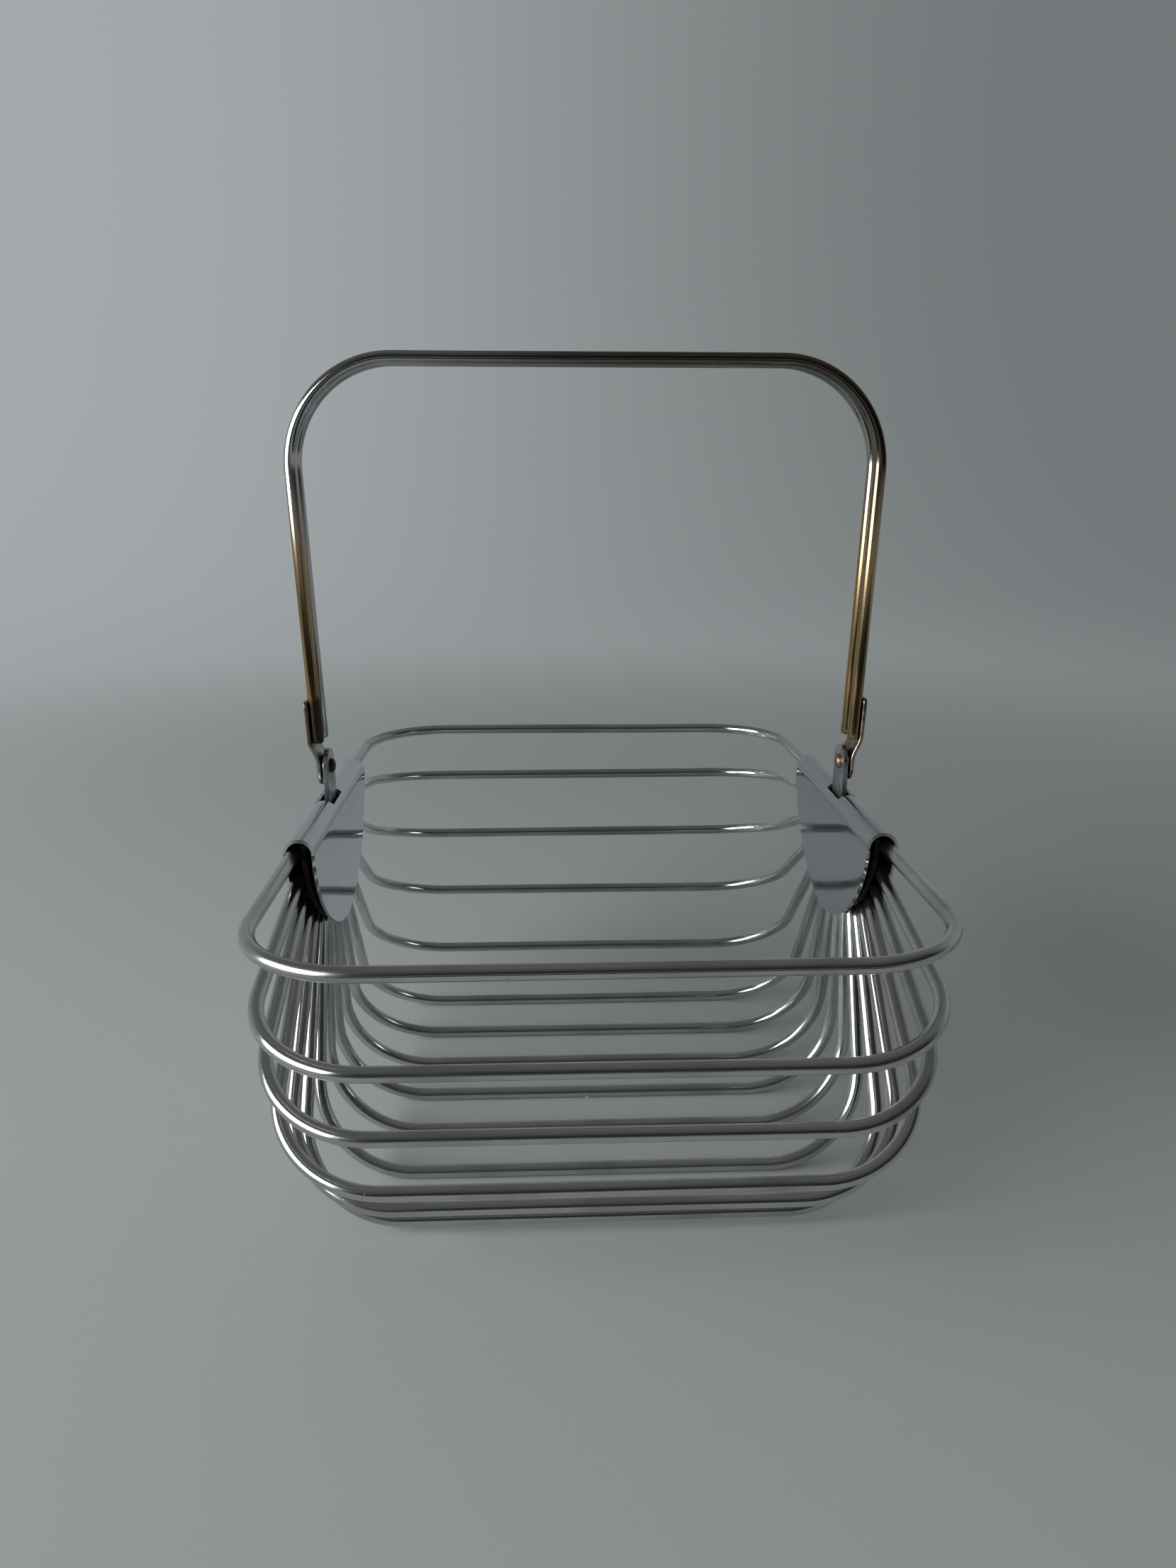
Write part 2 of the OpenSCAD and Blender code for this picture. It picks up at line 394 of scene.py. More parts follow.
capLook = {
    "clean": (0.70, 0.735, 0.76),
    "dull": (0.58, 0.60, 0.62),
    "rightCapPaintedShade": (0.46, 0.49, 0.51),  # painted shade: the right cap, darker as it lies away from the window
    # painted shade inside the fold
    "foldPaintedShade": (0.055, 0.05, 0.045),
    "speck": (0.2, 0.15, 0.11),
    "patchScale": 45,
    "patchRange": (0.4, 0.75),
    "rolledScale": (2600.0, 60.0, 900.0),
    "rubScale": (500.0, 1500.0, 160.0),
    "rubRange": (0.62, 0.74),
    "speckScale": 1100,
    "speckRange": (0.72, 0.8),
    "clusterScale": 60,
    "clusterRange": (0.5, 0.7),
    "depth": 0.9,  # share of the sheet's thickness at which its inside, painted in shade, starts
    "fade": 0.15 * mm,
    "ridge": (-0.5 * mm, 1.5 * mm),  # from the fold's axis upwards
    "share": {"patches": 0.6, "rightCapPaintedShade": 0.9, "specks": 0.6},
    "roughness": (0.06, 0.13),  # clean, dull
    "rougher": {"rubs": 0.04, "ridge": 0.16, "inside": 0.35},
    "height": {"rolled": 0.4, "rubs": 0.2},
    "bump": 0.008 * mm,
}


# painted shade: the inside of the fold, all that lies nearer to its axis, or to the plane below it, than the
# sheet's inner face, is painted near black
def capMaterial(look, middle, innerR, axisZ):
    material, tree = newMaterial("capSheetChrome")
    share, rougher, height = look["share"], look["rougher"], look["height"]
    whole = tree.objectPlace()
    x, _, z = tree.split(whole)
    patches = tree.patches(whole, look)
    rolled = tree.grain(whole, look["rolledScale"])
    rubs = tree.rise(tree.noise(tree.stretch(whole, look["rubScale"])), *look["rubRange"])
    above = (z - axisZ).atLeast(0.0)
    aside = abs(x) - middle
    fromFold = (aside * aside + above * above) ** 0.5
    inside = 1 - tree.rise(fromFold, innerR - look["fade"], innerR + look["fade"])
    specks = tree.specks(whole, look) * tree.clusters(whole, look)
    colour = tree.blend(patches * share["patches"], look["clean"], look["dull"])
    # painted shade: the right cap is blended towards a darker colour
    colour = tree.blend(tree.rise(x, *leftToRight) * share["rightCapPaintedShade"], colour, look["rightCapPaintedShade"])
    colour = tree.blend(specks * share["specks"], colour, look["speck"])
    # painted shade inside the fold
    colour = tree.blend(inside, colour, look["foldPaintedShade"])
    ridge = tree.rise(z, axisZ + look["ridge"][0], axisZ + look["ridge"][1])
    low, high = look["roughness"]
    roughness = (low + (high - low) * patches + rubs * rougher["rubs"] + ridge * rougher["ridge"]
                 + inside * rougher["inside"])
    tree.finish(colour, roughness, rolled * height["rolled"] + rubs * height["rubs"], look["bump"])
    return material


# The folded sheet: one parameter runs along the ridge, the other up the inner skirt, round the ridge's
# half circle and down the outer skirt. The skirts hang to a blunt ellipse: height share to a power plus
# length share to the same power makes one.
def capMesh(name, side, middle, half, axisZ, rimZ, drop, ridgeR):
    slot, power, steps, buckle = (cap[key] for key in ("slotHalf", "power", "steps", "buckle"))
    turn = np.linspace(0, math.pi / 2, steps["outline"])[1:]
    outer = half * np.cos(turn) ** (2 / power)
    outer = np.concatenate([[half], outer[outer > slot + cap["nearSlot"]], [slot]])
    inner = np.linspace(slot, 0, steps["slot"])[1:]
    y = np.concatenate([outer, inner, -inner[-2::-1], -outer[::-1]])
    hang = drop * (1 - np.clip(abs(y) / half, 0, 1) ** power) ** (1 / power)
    start, stop = (math.acos(v / ridgeR) for v in (cap["slotOut"], -cap["slotIn"]))
    bend = np.concatenate([np.linspace(0, start, steps["bend"]),
                           np.linspace(start, stop, steps["slotBend"])[1:],
                           np.linspace(stop, math.pi, steps["bend"])[1:]])
    down = np.linspace(0, 1, steps["skirt"])[1:]
    skirt = np.full(len(down), ridgeR)
    skirtZ = axisZ - down[:, None] * (axisZ - (rimZ - hang))
    ridgeZ = np.tile(axisZ + ridgeR * np.sin(bend[::-1])[:, None], (1, len(y)))
    fold = np.concatenate([-down[::-1], np.zeros(len(bend)), down])
    x = np.concatenate([-skirt, ridgeR * np.cos(bend[::-1]), skirt])
    z = np.vstack([skirtZ[::-1], ridgeZ, skirtZ])
    wave = np.sin(y / half * buckle["waves"] + np.sign(fold[:, None]) * buckle["shift"] + side)
    buckled = x[:, None] + buckle["size"] * fold[:, None] ** 2 * wave
    points = np.stack([side * (middle + buckled), np.tile(y, (len(x), 1)), z], -1)
    midRow = (x[1:] + x[:-1]) / 2
    onSlot = (fold[1:] == 0) & (fold[:-1] == 0) & (midRow < cap["slotOut"]) & (midRow > -cap["slotIn"])
    keep = ~(onSlot[:, None] & (abs(y[1:] + y[:-1]) / 2 < slot)[None, :])
    return skinGrid(name, points, np.arange(1, len(x) + 1) * mm, wrapColumns=False, keep=keep)


def buildCaps():
    low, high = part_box("cap_right")
    outerR = (high.x - low.x) / 2
    middle = (high.x + low.x) / 2
    axisZ = high.z - outerR
    rimZ = rimHeight()
    material = capMaterial(capLook, middle, outerR - cap["sheet"] * capLook["depth"], axisZ)
    for name, side in sides.items():
        mesh = capMesh(f"cap_{name}_sheet", side, middle, high.y, axisZ, rimZ, rimZ - low.z,
                       outerR - cap["sheet"] / 2)
        piece = addPiece(mesh, material, "basket", f"cap_{name}")
        wall = piece.modifiers.new("wall", "SOLIDIFY")
        wall.thickness = cap["sheet"]
        wall.offset = 0
        wall.use_even_offset = True
        softenEdges(piece, cap["edge"], cap["edgeAngle"])
    print("end caps:", len(sides))


lug = {
    "edge": 0.28 * mm,
    "edgeAngle": 40,  # degrees
    "clean": (0.50, 0.53, 0.56),
    "dull": (0.33, 0.33, 0.33),
    "stain": (0.09, 0.075, 0.06),
    # painted shade for the lug's part inside the cap
    "paintedShadeInCap": (0.02, 0.018, 0.016),
    "patchScale": 160,
    "patchRange": (0.4, 0.7),
    "brushedScale": (900.0, 2400.0, 260.0),
    "stainScale": 300,
    "stainRange": (0.35, 0.6),
    "stainHeight": 6 * mm,  # above the cap's ridge
    "paintedShadeInCapSpan": (-4 * mm, 1 * mm),  # painted shade: dark below the ridge, inside the cap
    "stainShare": 0.8,
    "roughness": 0.2,
    "rougher": {"patches": 0.1, "foot": 0.15, "paintedShadeInCap": 0.4},
    "bump": 0.015 * mm,
    "joinWithin": 0.002 * mm,
}


def lugMaterial(capTop):
    material, tree = newMaterial("lugSteel")
    rougher = lug["rougher"]
    whole = tree.objectPlace()
    z = tree.split(whole)[2]
    patches = tree.patches(whole, lug)
    brushed = tree.grain(whole, lug["brushedScale"])
    # painted shade where the lug goes down into the cap
    paintedShadeInCap = 1 - tree.rise(z, capTop + lug["paintedShadeInCapSpan"][0], capTop + lug["paintedShadeInCapSpan"][1])
    stain = tree.rise(tree.noise(whole, lug["stainScale"], 3), *lug["stainRange"])
    foot = (1 - tree.rise(z, capTop, capTop + lug["stainHeight"])) * stain
    colour = tree.blend(patches, lug["clean"], lug["dull"])
    colour = tree.blend(foot * lug["stainShare"], colour, lug["stain"])
    colour = tree.blend(paintedShadeInCap, colour, lug["paintedShadeInCap"])
    roughness = (lug["roughness"] + patches * rougher["patches"] + foot * rougher["foot"]
                 + paintedShadeInCap * rougher["paintedShadeInCap"])
    tree.finish(colour, roughness, brushed, lug["bump"])
    return material


def buildLugs():
    material = lugMaterial(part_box("cap_right")[1].z)
    for name in sides:
        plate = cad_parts[f"lug_plate_{name}"]
        plate.data.materials.clear()
        plate.data.materials.append(material)
        weld = plate.modifiers.new("join", "WELD")
        weld.merge_threshold = lug["joinWithin"]
        softenEdges(plate, lug["edge"], lug["edgeAngle"])
    print("lug plates:", len(sides))


rod = {
    "cornerR": 31 * mm,
    "cutEdge": 0.9 * mm,
    "foot": 23 * mm,  # above the rim wire
    "footReach": 85.9 * mm,
    "headReach": 89.4 * mm,
    "unevenness": 0.12 * mm,
    "steps": {"arm": 40, "corner": 34, "bar": 24, "edge": 6, "around": 32},
}

rodLook = {
    "silver": (0.52, 0.53, 0.54),
    "darkBar": (0.17, 0.15, 0.125),  # the front rod's bar
    "greyBar": (0.34, 0.345, 0.35),  # the rear rod's bar
    "gold": (0.37, 0.265, 0.14),
    "brown": (0.085, 0.055, 0.035),
    "heat": (0.34, 0.16, 0.06),
    "scorched": (0.045, 0.032, 0.024),
    "frontToRear": (-0.1 * mm, 0.1 * mm),
    "silverToBar": (-0.09, 0.02),  # across X
    "goldTop": 0.215,  # metres above the floor
    "goldDrop": 0.01,  # how much lower it ends on the left
    "goldDrift": 0.05,
    "goldFade": (-0.03, 0.02),
    "driftScale": 30,
    "drawnScale": (50, 40),  # along the rod, around it
    "streakScale": (28, 9),
    "streakRange": (0.45, 0.75),
    "speckScale": 1000,
    "speckRange": (0.68, 0.78),
    "heatAt": 3 * mm,  # above the strip's top
    "heatSpan": 9 * mm,
    "scorchFade": (2 * mm, 6 * mm),
    "scorchDrift": 6 * mm,
    "share": {"streaks": 0.55, "heat": 0.5, "scorched": 0.95, "specks": 0.15},
    "lessRearLeft": {"gold": 0.75, "streaks": 0.3, "heat": 0.35},
    "roughness": (0.09, 0.16),  # between streaks, on them
    "rougher": {"drawn": 0.05, "heat": 0.05, "scorched": 0.2},
    "height": {"drawn": 0.4, "specks": 0.1},
    "bump": 0.006 * mm,
}


# a bar that is dark in front and grey behind, gold-brown arms, a burnt band above each strip, and a
# scorched foot on the front rod at the left
def rodMaterial(look, stripTop):
    material, tree = newMaterial("handleRodSteel")
    share, less, rougher, height = (look[key] for key in ("share", "lessRearLeft", "rougher", "height"))
    whole = tree.objectPlace()
    x, y, z = tree.split(whole)
    drift = tree.noise(whole, look["driftScale"], 3)
    rear = tree.rise(y, *look["frontToRear"])
    left = 1 - tree.rise(x, *leftToRight)
    rearLeft = rear * left
    toBar = tree.rise(x, *look["silverToBar"])
    goldTop = look["goldTop"] - left * look["goldDrop"]
    gold = 1 - tree.rise(z + (drift - 0.5) * look["goldDrift"] - goldTop, *look["goldFade"])
    drawn = tree.drawnLines(look)
    streaks = tree.rise(tree.noise(tree.rodPlace(look["streakScale"]), 1.0, 3), *look["streakRange"])
    heat = 1 - tree.rise(abs(z - (stripTop + look["heatAt"])), 0.0, look["heatSpan"])
    specks = tree.specks(whole, look)
    fadeLow, fadeHigh = (stripTop + above for above in look["scorchFade"])
    scorched = left * (1 - rear) * (1 - tree.rise(z + drift * look["scorchDrift"], fadeLow, fadeHigh))
    colour = tree.blend(rear, look["darkBar"], look["greyBar"])
    colour = tree.blend(toBar, look["silver"], colour)
    colour = tree.blend(gold * (1 - rearLeft * less["gold"]), colour, look["gold"])
    colour = tree.blend(streaks * (share["streaks"] - rearLeft * less["streaks"]), colour, look["brown"])
    colour = tree.blend(heat * (share["heat"] - rearLeft * less["heat"]), colour, look["heat"])
    colour = tree.blend(scorched * share["scorched"], colour, look["scorched"])
    colour = tree.blend(specks * share["specks"], colour, look["brown"])
    low, high = look["roughness"]
    roughness = (low + (high - low) * streaks + drawn * rougher["drawn"] + heat * rougher["heat"]
                 + scorched * rougher["scorched"])
    tree.finish(colour, roughness, drawn * height["drawn"] - specks * height["specks"], look["bump"])
    return material


def buildRods():
    material = rodMaterial(rodLook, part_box("handle_end_left")[1].z)
    for where in ("front", "rear"):
        low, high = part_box(f"handle_rod_{where}")
        radius = (high.y - low.y) / 2 - wire["swell"]
        arch = archPath(rod["footReach"], rod["headReach"], rod["foot"] + rimHeight(),
                        high.z - radius - wire["swell"], rod["cornerR"], rod["steps"])
        wave = waviness(len(arch), rod["unevenness"])
        dip = waviness(len(arch), rod["unevenness"])
        path = np.stack([arch[:, 0], (low.y + high.y) / 2 + wave, arch[:, 1] - abs(dip)], -1)
        mesh = sweepRod(f"handle_rod_{where}_bar", path, np.array([0, 1, 0]), radius, rod)
        addPiece(mesh, material, "handle", f"handle_rod_{where}")
    print("handle rods: 2")


# the flat strips at the handle's feet
strip = {
    "thick": 1.2 * mm,
    "edge": 0.32 * mm,
    "edgeShare": 0.8,  # most of the half width that an edge may take
    "topCorner": 1.3 * mm,
    "stepLow": 17.8 * mm,  # above the rim wire
    "stepHigh": 22.7 * mm,
    "softness": 0.7 * mm,  # rounding of the two bends
    "flare": 3.5 / 115,  # how far the rods lean out per unit of height
    "steps": {"tab": 15, "corner": 7, "length": 40, "around": 32},
    "brown": (0.27, 0.20, 0.14),
    "dark": (0.10, 0.075, 0.055),
    # rubbed wear and a painted highlight along the long edges
    "wornAndLitEdge": (0.58, 0.50, 0.40),
    "bare": (0.40, 0.41, 0.42),
    "patchScale": 170,
    "patchRange": (0.38, 0.68),
    "grainScale": (700.0, 2200.0, 200.0),
    "edgeWearAndHighlightSpan": (-0.45 * mm, -0.1 * mm),  # from the strip's long edges
    "edgeWearAndHighlightScale": 420,
    "edgeWearAndHighlightRange": (0.3, 0.6),
    "edgeWearAndHighlightLeft": 0.25,  # share of the right side's edge wear and painted highlight
    "bareFade": 1.5 * mm,  # below the upper bend
    "share": {"bare": 0.7, "edgeWearAndHighlight": 0.8},
    "roughness": 0.24,
    "patchRougher": 0.14,
    "bump": 0.02 * mm,
}


# A flat bar with a stepped side view. Across, it is a rectangle with rounded corners; its half width follows
# the round tab's circle at the bottom, is constant in the middle and is rounded at the top corners. Its
# middle plane is the tab's plane, plus a straight ramp with both ends softened, plus the rods' lean.
def stripMesh(name, side, halfWidth, hingeZ, top, rimZ, tabX, topX):
    corner, edge, steps = strip["topCorner"], strip["edge"], strip["steps"]
    lower = hingeZ - halfWidth * np.cos(np.linspace(0, math.pi / 2, steps["tab"])[1:])
    upper = top - corner * (1 - np.sin(np.linspace(0, math.pi / 2, steps["corner"])[:-1]))
    z = np.concatenate([lower, np.linspace(lower[-1], upper[0], steps["length"])[1:-1], upper])
    width = halfWidth * np.sqrt(np.clip(1 - (np.clip(hingeZ - z, 0, None) / halfWidth) ** 2, 0, 1))
    past = np.clip(z - (top - corner), 0, None)
    width = width - corner + np.sqrt(corner ** 2 - past ** 2)
    low, high, soft = rimZ + strip["stepLow"], rimZ + strip["stepHigh"], strip["softness"]
    ramp = soft * (np.logaddexp(0, (z - low) / soft) - np.logaddexp(0, (z - high) / soft)) / (high - low)
    x = tabX + (topX - tabX) * ramp + strip["flare"] * np.clip(z - high, 0, None)
    normal = unit(np.stack([np.ones_like(z), -np.gradient(x, z)], -1))
    # the rectangle as one loop: corner centres plus a small circle, which shrinks where the bar is narrow
    turn = np.linspace(0, 2 * math.pi, steps["around"], endpoint=False) + math.pi / steps["around"]
    narrow = np.minimum(edge, width * strip["edgeShare"])
    across = np.sign(np.cos(turn)) * (width - narrow)[:, None] + narrow[:, None] * np.cos(turn)
    through = np.sign(np.sin(turn)) * (strip["thick"] / 2 - edge) + edge * np.sin(turn)
    points = np.stack([side * (x[:, None] + through * normal[:, :1]), across,
                       z[:, None] + through * normal[:, 1:]], -1)
    poles = np.array([[side * tabX, 0, hingeZ - halfWidth], [side * x[-1], 0, top]])
    return skinGrid(name, points, z, poles=poles)


def stripMaterial(halfWidth, bendZ):
    material, tree = newMaterial("tarnishedStrip")
    whole = tree.objectPlace()
    x, y, z = tree.split(whole)
    right = tree.rise(x, *leftToRight)
    patches = tree.patches(whole, strip)
    grain = tree.grain(whole, strip["grainScale"])
    rim = tree.rise(abs(y), halfWidth + strip["edgeWearAndHighlightSpan"][0], halfWidth + strip["edgeWearAndHighlightSpan"][1])
    edgePatches = tree.rise(tree.noise(whole, strip["edgeWearAndHighlightScale"], 2), *strip["edgeWearAndHighlightRange"])
    # rubbed wear and a painted highlight along the long edges, less on the left
    edgeWearAndHighlight = rim * edgePatches * (strip["edgeWearAndHighlightLeft"] + (1 - strip["edgeWearAndHighlightLeft"]) * right)
    bare = (1 - tree.rise(z, bendZ - strip["bareFade"], bendZ)) * (1 - right)
    colour = tree.blend(patches, strip["brown"], strip["dark"])
    colour = tree.blend(bare * strip["share"]["bare"], colour, strip["bare"])
    colour = tree.blend(edgeWearAndHighlight * strip["share"]["edgeWearAndHighlight"], colour, strip["wornAndLitEdge"])
    tree.finish(colour, strip["roughness"] + patches * strip["patchRougher"], grain, strip["bump"])
    return material


def buildStrips():
    low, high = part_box("handle_end_right")
    halfWidth = (high.y - low.y) / 2
    rimZ = rimHeight()
    bendZ = rimZ + strip["stepHigh"]
    material = stripMaterial(halfWidth, bendZ)
    tabX = low.x + strip["thick"] / 2
    topX = high.x - strip["thick"] / 2 - strip["flare"] * (high.z - bendZ)
    for name, side in sides.items():
        mesh = stripMesh(f"strip_{name}", side, halfWidth, low.z + halfWidth, high.z, rimZ, tabX, topX)
        addPiece(mesh, material, "handle", f"handle_end_{name}")
    print("strips:", len(sides))


rivet = {
    "shankR": 1.5 * mm,
    "headHeight": 1.4 * mm,
    "tailHeight": 1.2 * mm,
    "blunt": 0.75,  # below 1 makes a fuller head
    "wobble": 0.018,
    "around": 40,
    "domeSteps": 12,
    "darkTone": (0.045, 0.04, 0.04),  # the left one, darker, and the stains on both
    "copper": (0.36, 0.205, 0.15),  # the right one
    "patchScale": 900,
    "patchRange": (0.5, 0.72),
    "patchShare": 0.5,
    "roughness": 0.30,
    "patchRougher": 0.15,
    "bump": 0.05 * mm,
}
washer = {
    "innerR": 1.55 * mm,
    "square": 0.4,  # 1 gives a round section, near 0 a square one
    "around": 48,
    "section": 24,
    # painted shade: the washer is dark like the shadowed gap between tab and lug; the patches between the
    # two tones vary at random
    "dark": (0.10, 0.09, 0.08),
    "pale": (0.20, 0.18, 0.16),
    "patchScale": 500,
    "roughness": 0.3,
    "patchRougher": 0.2,
    "bump": 0.02 * mm,
}


# One profile from pole to pole: a domed head, the shank, and a domed tail. Each dome's height follows a
# sine and its radius a cosine to a power, which makes it blunt.
def rivetProfile(low, high, radius):
    turn = np.linspace(0, math.pi / 2, rivet["domeSteps"])
    dome = np.cos(turn) ** rivet["blunt"] * radius
    head = low + rivet["headHeight"] * (1 - np.sin(turn))
    tail = high - rivet["tailHeight"] * (1 - np.sin(turn))
    axial = np.concatenate([head[::-1], [head[0], tail[0]], tail])
    radial = np.concatenate([dome[::-1], [rivet["shankR"]] * 2, dome])
    radial[[0, -1]] = 0
    return axial, radial


# A closed loop round the washer's section: a circle whose sine and cosine are raised to a power, which
# draws it out towards a square
def washerProfile(low, high, outerR):
    turn = np.linspace(0, 2 * math.pi, washer["section"], endpoint=False)
    up, out = (np.sign(v) * abs(v) ** washer["square"] for v in (np.sin(turn), np.cos(turn)))
    axial = (low + high) / 2 + (high - low) / 2 * up
    radial = (outerR + washer["innerR"]) / 2 + (outerR - washer["innerR"]) / 2 * out
    return axial, radial


def rivetMaterial():
    material, tree = newMaterial("rivetMetal")
    whole = tree.objectPlace()
    patches = tree.noise(whole, rivet["patchScale"], 3)
    right = tree.rise(tree.split(whole)[0], *leftToRight)
    colour = tree.blend(right, rivet["darkTone"], rivet["copper"])
    stain = tree.rise(patches, *rivet["patchRange"]) * rivet["patchShare"]
    colour = tree.blend(stain, colour, rivet["darkTone"])
    tree.finish(colour, rivet["roughness"] + patches * rivet["patchRougher"], patches, rivet["bump"])
    return material


def washerMaterial():
    material, tree = newMaterial("washerSteel")
    patches = tree.noise(tree.objectPlace(), washer["patchScale"], 3)
    # painted shade: dark tones for the shadowed gap
    colour = tree.blend(patches, washer["dark"], washer["pale"])
    tree.finish(colour, washer["roughness"] + patches * washer["patchRougher"], patches, washer["bump"])
    return material


def buildRivets():
    metal, steel = rivetMaterial(), washerMaterial()
    low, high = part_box("handle_rivet_right")
    hinge = ((low.y + high.y) / 2, (low.z + high.z) / 2)
    headR = (high.z - low.z) / 2 / (1 + 1.6 * rivet["wobble"])  # at its widest it fills the frame's radius
    rivetX, rivetR = rivetProfile(low.x, high.x, headR)
    low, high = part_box("handle_washer_right")
    washerX, washerR = washerProfile(low.x, high.x, (high.z - low.z) / 2)
    for name, side in sides.items():
        mesh = turned(f"rivet_{name}", side * rivetX, rivetR, hinge, rivet["around"], rivet["wobble"])
        addPiece(mesh, metal, "basket", f"handle_rivet_{name}")
        mesh = turned(f"washer_{name}", side * washerX, washerR, hinge, washer["around"], poles=False)
        addPiece(mesh, steel, "basket", f"handle_washer_{name}")
    print("rivets and washers: 2 and 2")


studio = {
    "floor": {"pale": (0.50, 0.525, 0.53), "grain": (0.40, 0.41, 0.42), "grainScale": 260,
              "grainShare": 0.12, "middle": 0.001, "firstRing": 0.1, "radius": 1.1, "rings": 12,
              "glowFrom": 0.35},
    # painted light: the far floor's and backdrop's glow fades from the left to the right
    "glow": {"left": (0.37, 0.40, 0.405), "right": (0.17, 0.185, 0.19), "span": (-1.2, 1.3)},
    "backdrop": {"flatTo": 1.6, "bendR": 1.2, "height": 4.5, "steps": 24},
    "window": {"at": (-1.4, -0.7, 0.55), "aim": (0, 0, 0.12), "size": (1.6, 0.95),
               "colour": (0.97, 0.99, 1.0), "brightness": 7.2},
    "overhead": {"at": (-0.6, 0.1, 2.0), "aim": (0, 0, 0), "size": (1.8, 1.8),
                 "colour": (0.98, 0.99, 1.0), "brightness": 0.2},
    "card": {"near": -0.43, "far": -1.6, "half": 1.2, "height": 0.002, "tone": (0.016, 0.016, 0.015)},
}
room = {  # spans are shares of a unit direction
    "front": [  # share of the way up, colour
        (0.0, (0.016, 0.015, 0.014)), (0.29, (0.022, 0.021, 0.02)), (0.44, (0.04, 0.039, 0.036)),
        (0.57, (0.062, 0.06, 0.057)), (0.8, (0.10, 0.10, 0.096)), (0.95, (0.13, 0.13, 0.125)),
        (1.0, (0.135, 0.135, 0.13))],
    "wall": (0.27, 0.285, 0.29),
    "upperWall": (0.14, 0.145, 0.15),
    "wallFade": (0.3, 0.72),
    "behind": (-0.15, 0.45),
    "ground": (0.30, 0.31, 0.315),
    "horizon": (-0.02, 0.04),
}
camera = {
    "at": (-0.01414, -0.3414, 0.2155),
    "yaw": 0.042,  # radians, turned towards +X
    "pitch": 0.282,  # radians, looking down
    "roll": 0.002,
    "lens": 24.85,
    "sensor": 36,
    "nearest": 0.01,
}


# A surface of revolution: rings of the given radii and heights about the vertical
def aroundVertical(name, radii, heights, columns=96):
    turn = np.linspace(0, 2 * math.pi, columns, endpoint=False)[None, :]
    points = np.stack([radii[:, None] * np.cos(turn), radii[:, None] * np.sin(turn),
                       heights[:, None] + 0 * turn], -1)
    return skinGrid(name, points, radii)


def addStagePiece(mesh, material, *hiddenFrom):
    piece = addToScene(mesh.name, mesh)
    mesh.materials.append(material)
    for ray in hiddenFrom:
        setattr(piece, f"visible_{ray}", False)


def addPanel(name, at, aim, size, colour, brightness):
    light = bpy.data.lights.new(name, "AREA")
    light.shape = "RECTANGLE"
    light.size, light.size_y = size
    light.energy = math.pi * size[0] * size[1] * brightness
    light.color = colour
    panel = addToScene(name, light)
    panel.location = at
    towards = np.array(aim) - np.array(at)
    turnAngle = math.atan2(towards[1], towards[0])
    tilt = math.atan2(math.hypot(towards[0], towards[1]), -towards[2])
    panel.rotation_euler = (tilt, 0, turnAngle - math.pi / 2)
    panel.visible_camera = False
    return panel


# lit like any floor near the object, and glowing by itself further out, where the lights fall off; the glow
# is painted light, brighter on the left where the window is
def floorMaterial(floor, glow):
    material, tree = newMaterial("paleFloor")
    whole = tree.objectPlace()
    x, y, _ = tree.split(whole)
    grain = tree.noise(whole, floor["grainScale"], 3, 0.6)
    colour = tree.blend(grain * floor["grainShare"], floor["pale"], floor["grain"])
    lit = tree.node("ShaderNodeBsdfDiffuse", None, {"Color": colour})
    # painted light: the glow fades from the lit left to the darker right
    tone = tree.blend(tree.rise(x, *glow["span"]), glow["left"], glow["right"])
    glowing = tree.node("ShaderNodeEmission", None, {"Color": tone})
    far = tree.rise((x * x + y * y) ** 0.5, floor["glowFrom"], floor["radius"])
    shader = tree.node("ShaderNodeMixShader", None, {0: far, 1: lit, 2: glowing})
    tree.node("ShaderNodeOutputMaterial", None, {"Surface": shader})
    return material


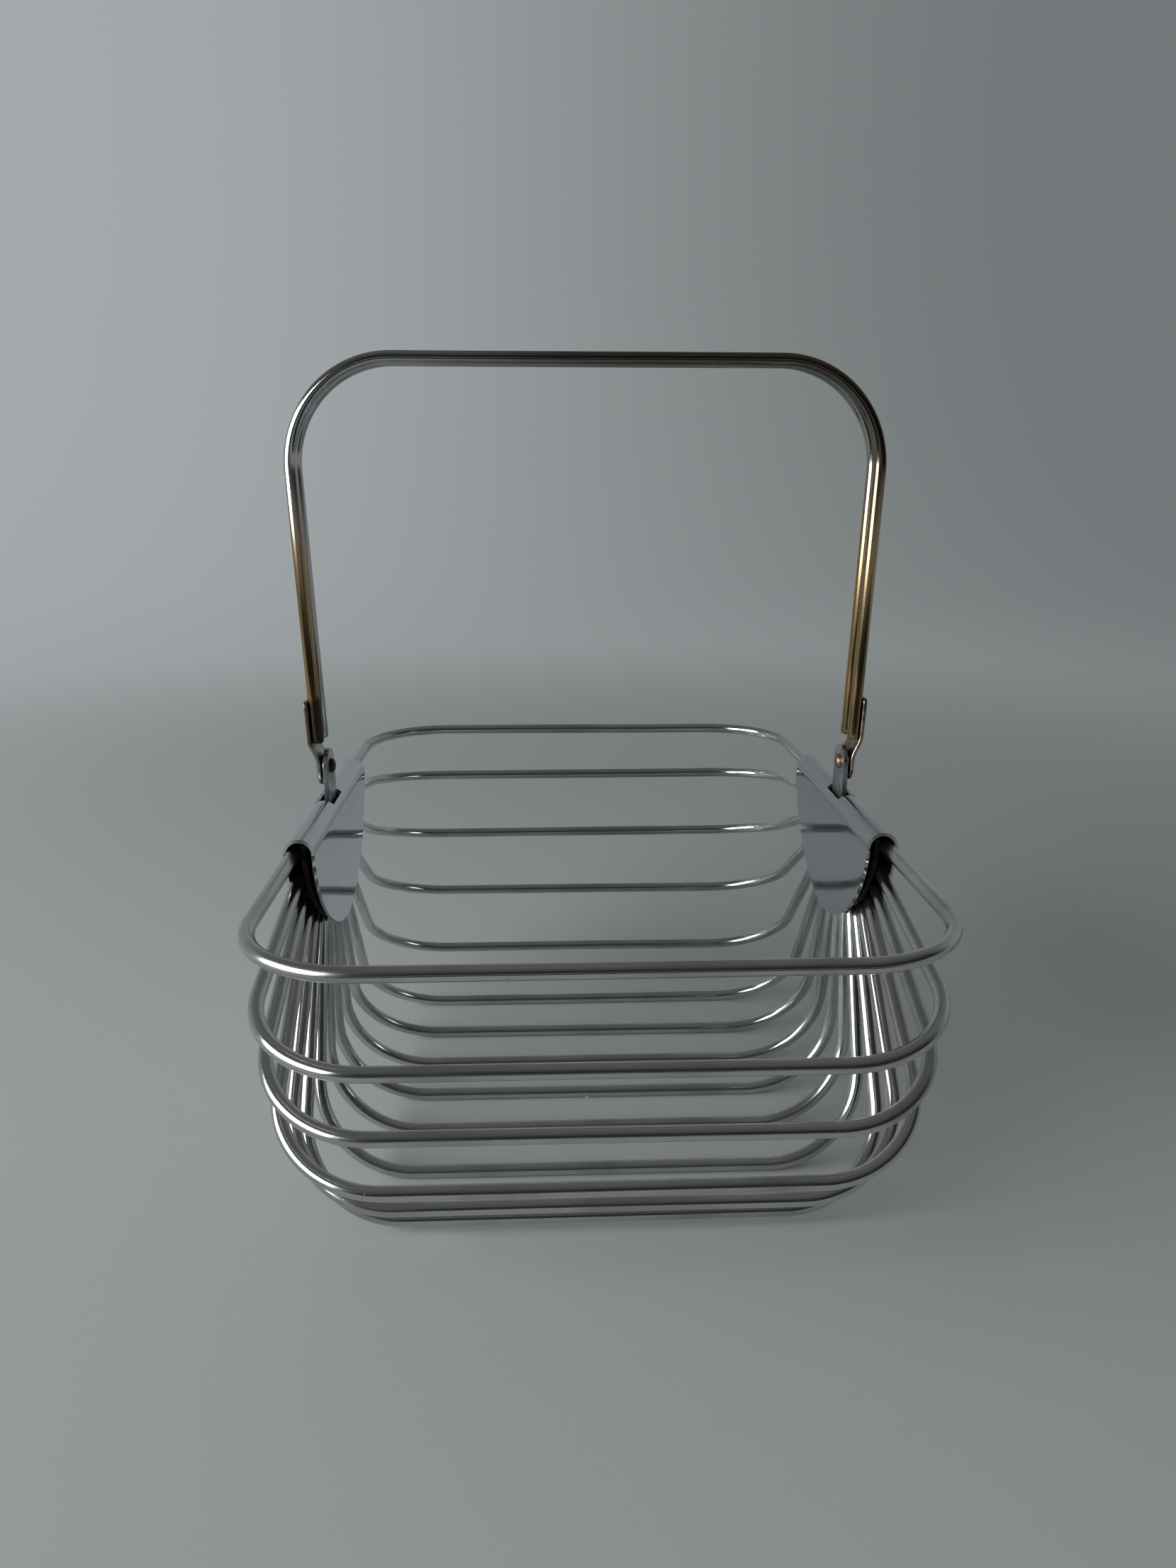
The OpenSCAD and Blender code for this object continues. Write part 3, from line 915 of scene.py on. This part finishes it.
def buildStudio():
    floor, backdrop, card = studio["floor"], studio["backdrop"], studio["card"]
    material = floorMaterial(floor, studio["glow"])
    rings = np.linspace(floor["firstRing"], floor["radius"], floor["rings"])
    rings = np.concatenate([[floor["middle"]], rings])
    addStagePiece(aroundVertical("floor", rings, 0 * rings), material)
    # a flat ring, a quarter of a circle and a wall, which only the camera sees
    bend = np.linspace(0, math.pi / 2, backdrop["steps"])[1:]
    flatTo, bendR = backdrop["flatTo"], backdrop["bendR"]
    radii = np.concatenate([[floor["radius"], flatTo], flatTo + bendR * np.sin(bend), [flatTo + bendR]])
    heights = np.concatenate([[0, 0], bendR * (1 - np.cos(bend)), [backdrop["height"]]])
    addStagePiece(aroundVertical("backdrop", radii, heights), material,
                  "diffuse", "glossy", "transmission", "volume_scatter", "shadow")
    # a black card low down in front, which only reflections see
    black, tree = newMaterial("blackCard")
    tree.node("ShaderNodeOutputMaterial", None, {
        "Surface": tree.node("ShaderNodeEmission", None, {"Color": card["tone"]})})
    corners = np.array([[[u * card["half"], v, card["height"]] for u in (-1, 1)]
                        for v in (card["far"], card["near"])])
    addStagePiece(skinGrid("card", corners, np.arange(2.0), wrapColumns=False), black,
                  "camera", "diffuse", "transmission", "volume_scatter", "shadow")
    addPanel("window", **studio["window"])
    addPanel("overhead", **studio["overhead"]).visible_glossy = False
    print("floor, backdrop and lights")


# a dim room: darkest in front a little above the horizon, a pale wall behind and the ground below
def buildRoom():
    world = bpy.data.worlds.new("room")
    bpy.context.scene.world = world
    tree = ShaderTree(world)
    _, y, z = tree.split(tree.node("ShaderNodeTexCoord", output="Generated"))
    colour = tree.node("ShaderNodeValToRGB", {"stops": room["front"]}, {0: z})
    behind = tree.blend(tree.rise(z, *room["wallFade"]), room["wall"], room["upperWall"])
    colour = tree.blend(tree.rise(y, *room["behind"]), colour, behind)
    colour = tree.blend(tree.rise(0 - z, *room["horizon"]), colour, room["ground"])
    sky = tree.node("ShaderNodeBackground", None, {"Color": colour, "Strength": 1.0})
    tree.node("ShaderNodeOutputWorld", None, {"Surface": sky})
    print("room around it")


def buildCamera():
    lens = bpy.data.cameras.new("camera")
    lens.lens = camera["lens"]
    lens.sensor_width = camera["sensor"]
    lens.sensor_fit = "AUTO"
    lens.clip_start = camera["nearest"]
    lens.dof.use_dof = False
    eye = addToScene("camera", lens)
    eye.matrix_world = (
        Matrix.Translation(camera["at"]) @ Matrix.Rotation(-camera["yaw"], 4, "Z")
        @ Matrix.Rotation(math.pi / 2 - camera["pitch"], 4, "X") @ Matrix.Rotation(camera["roll"], 4, "Z"))
    bpy.context.scene.camera = eye
    bpy.context.scene.view_settings.view_transform = "Standard"
    print("camera")


buildCamera()
buildStudio()
buildRoom()
buildWires()
buildCaps()
buildLugs()
buildRods()
buildStrips()
buildRivets()

bpy.context.view_layer.update()
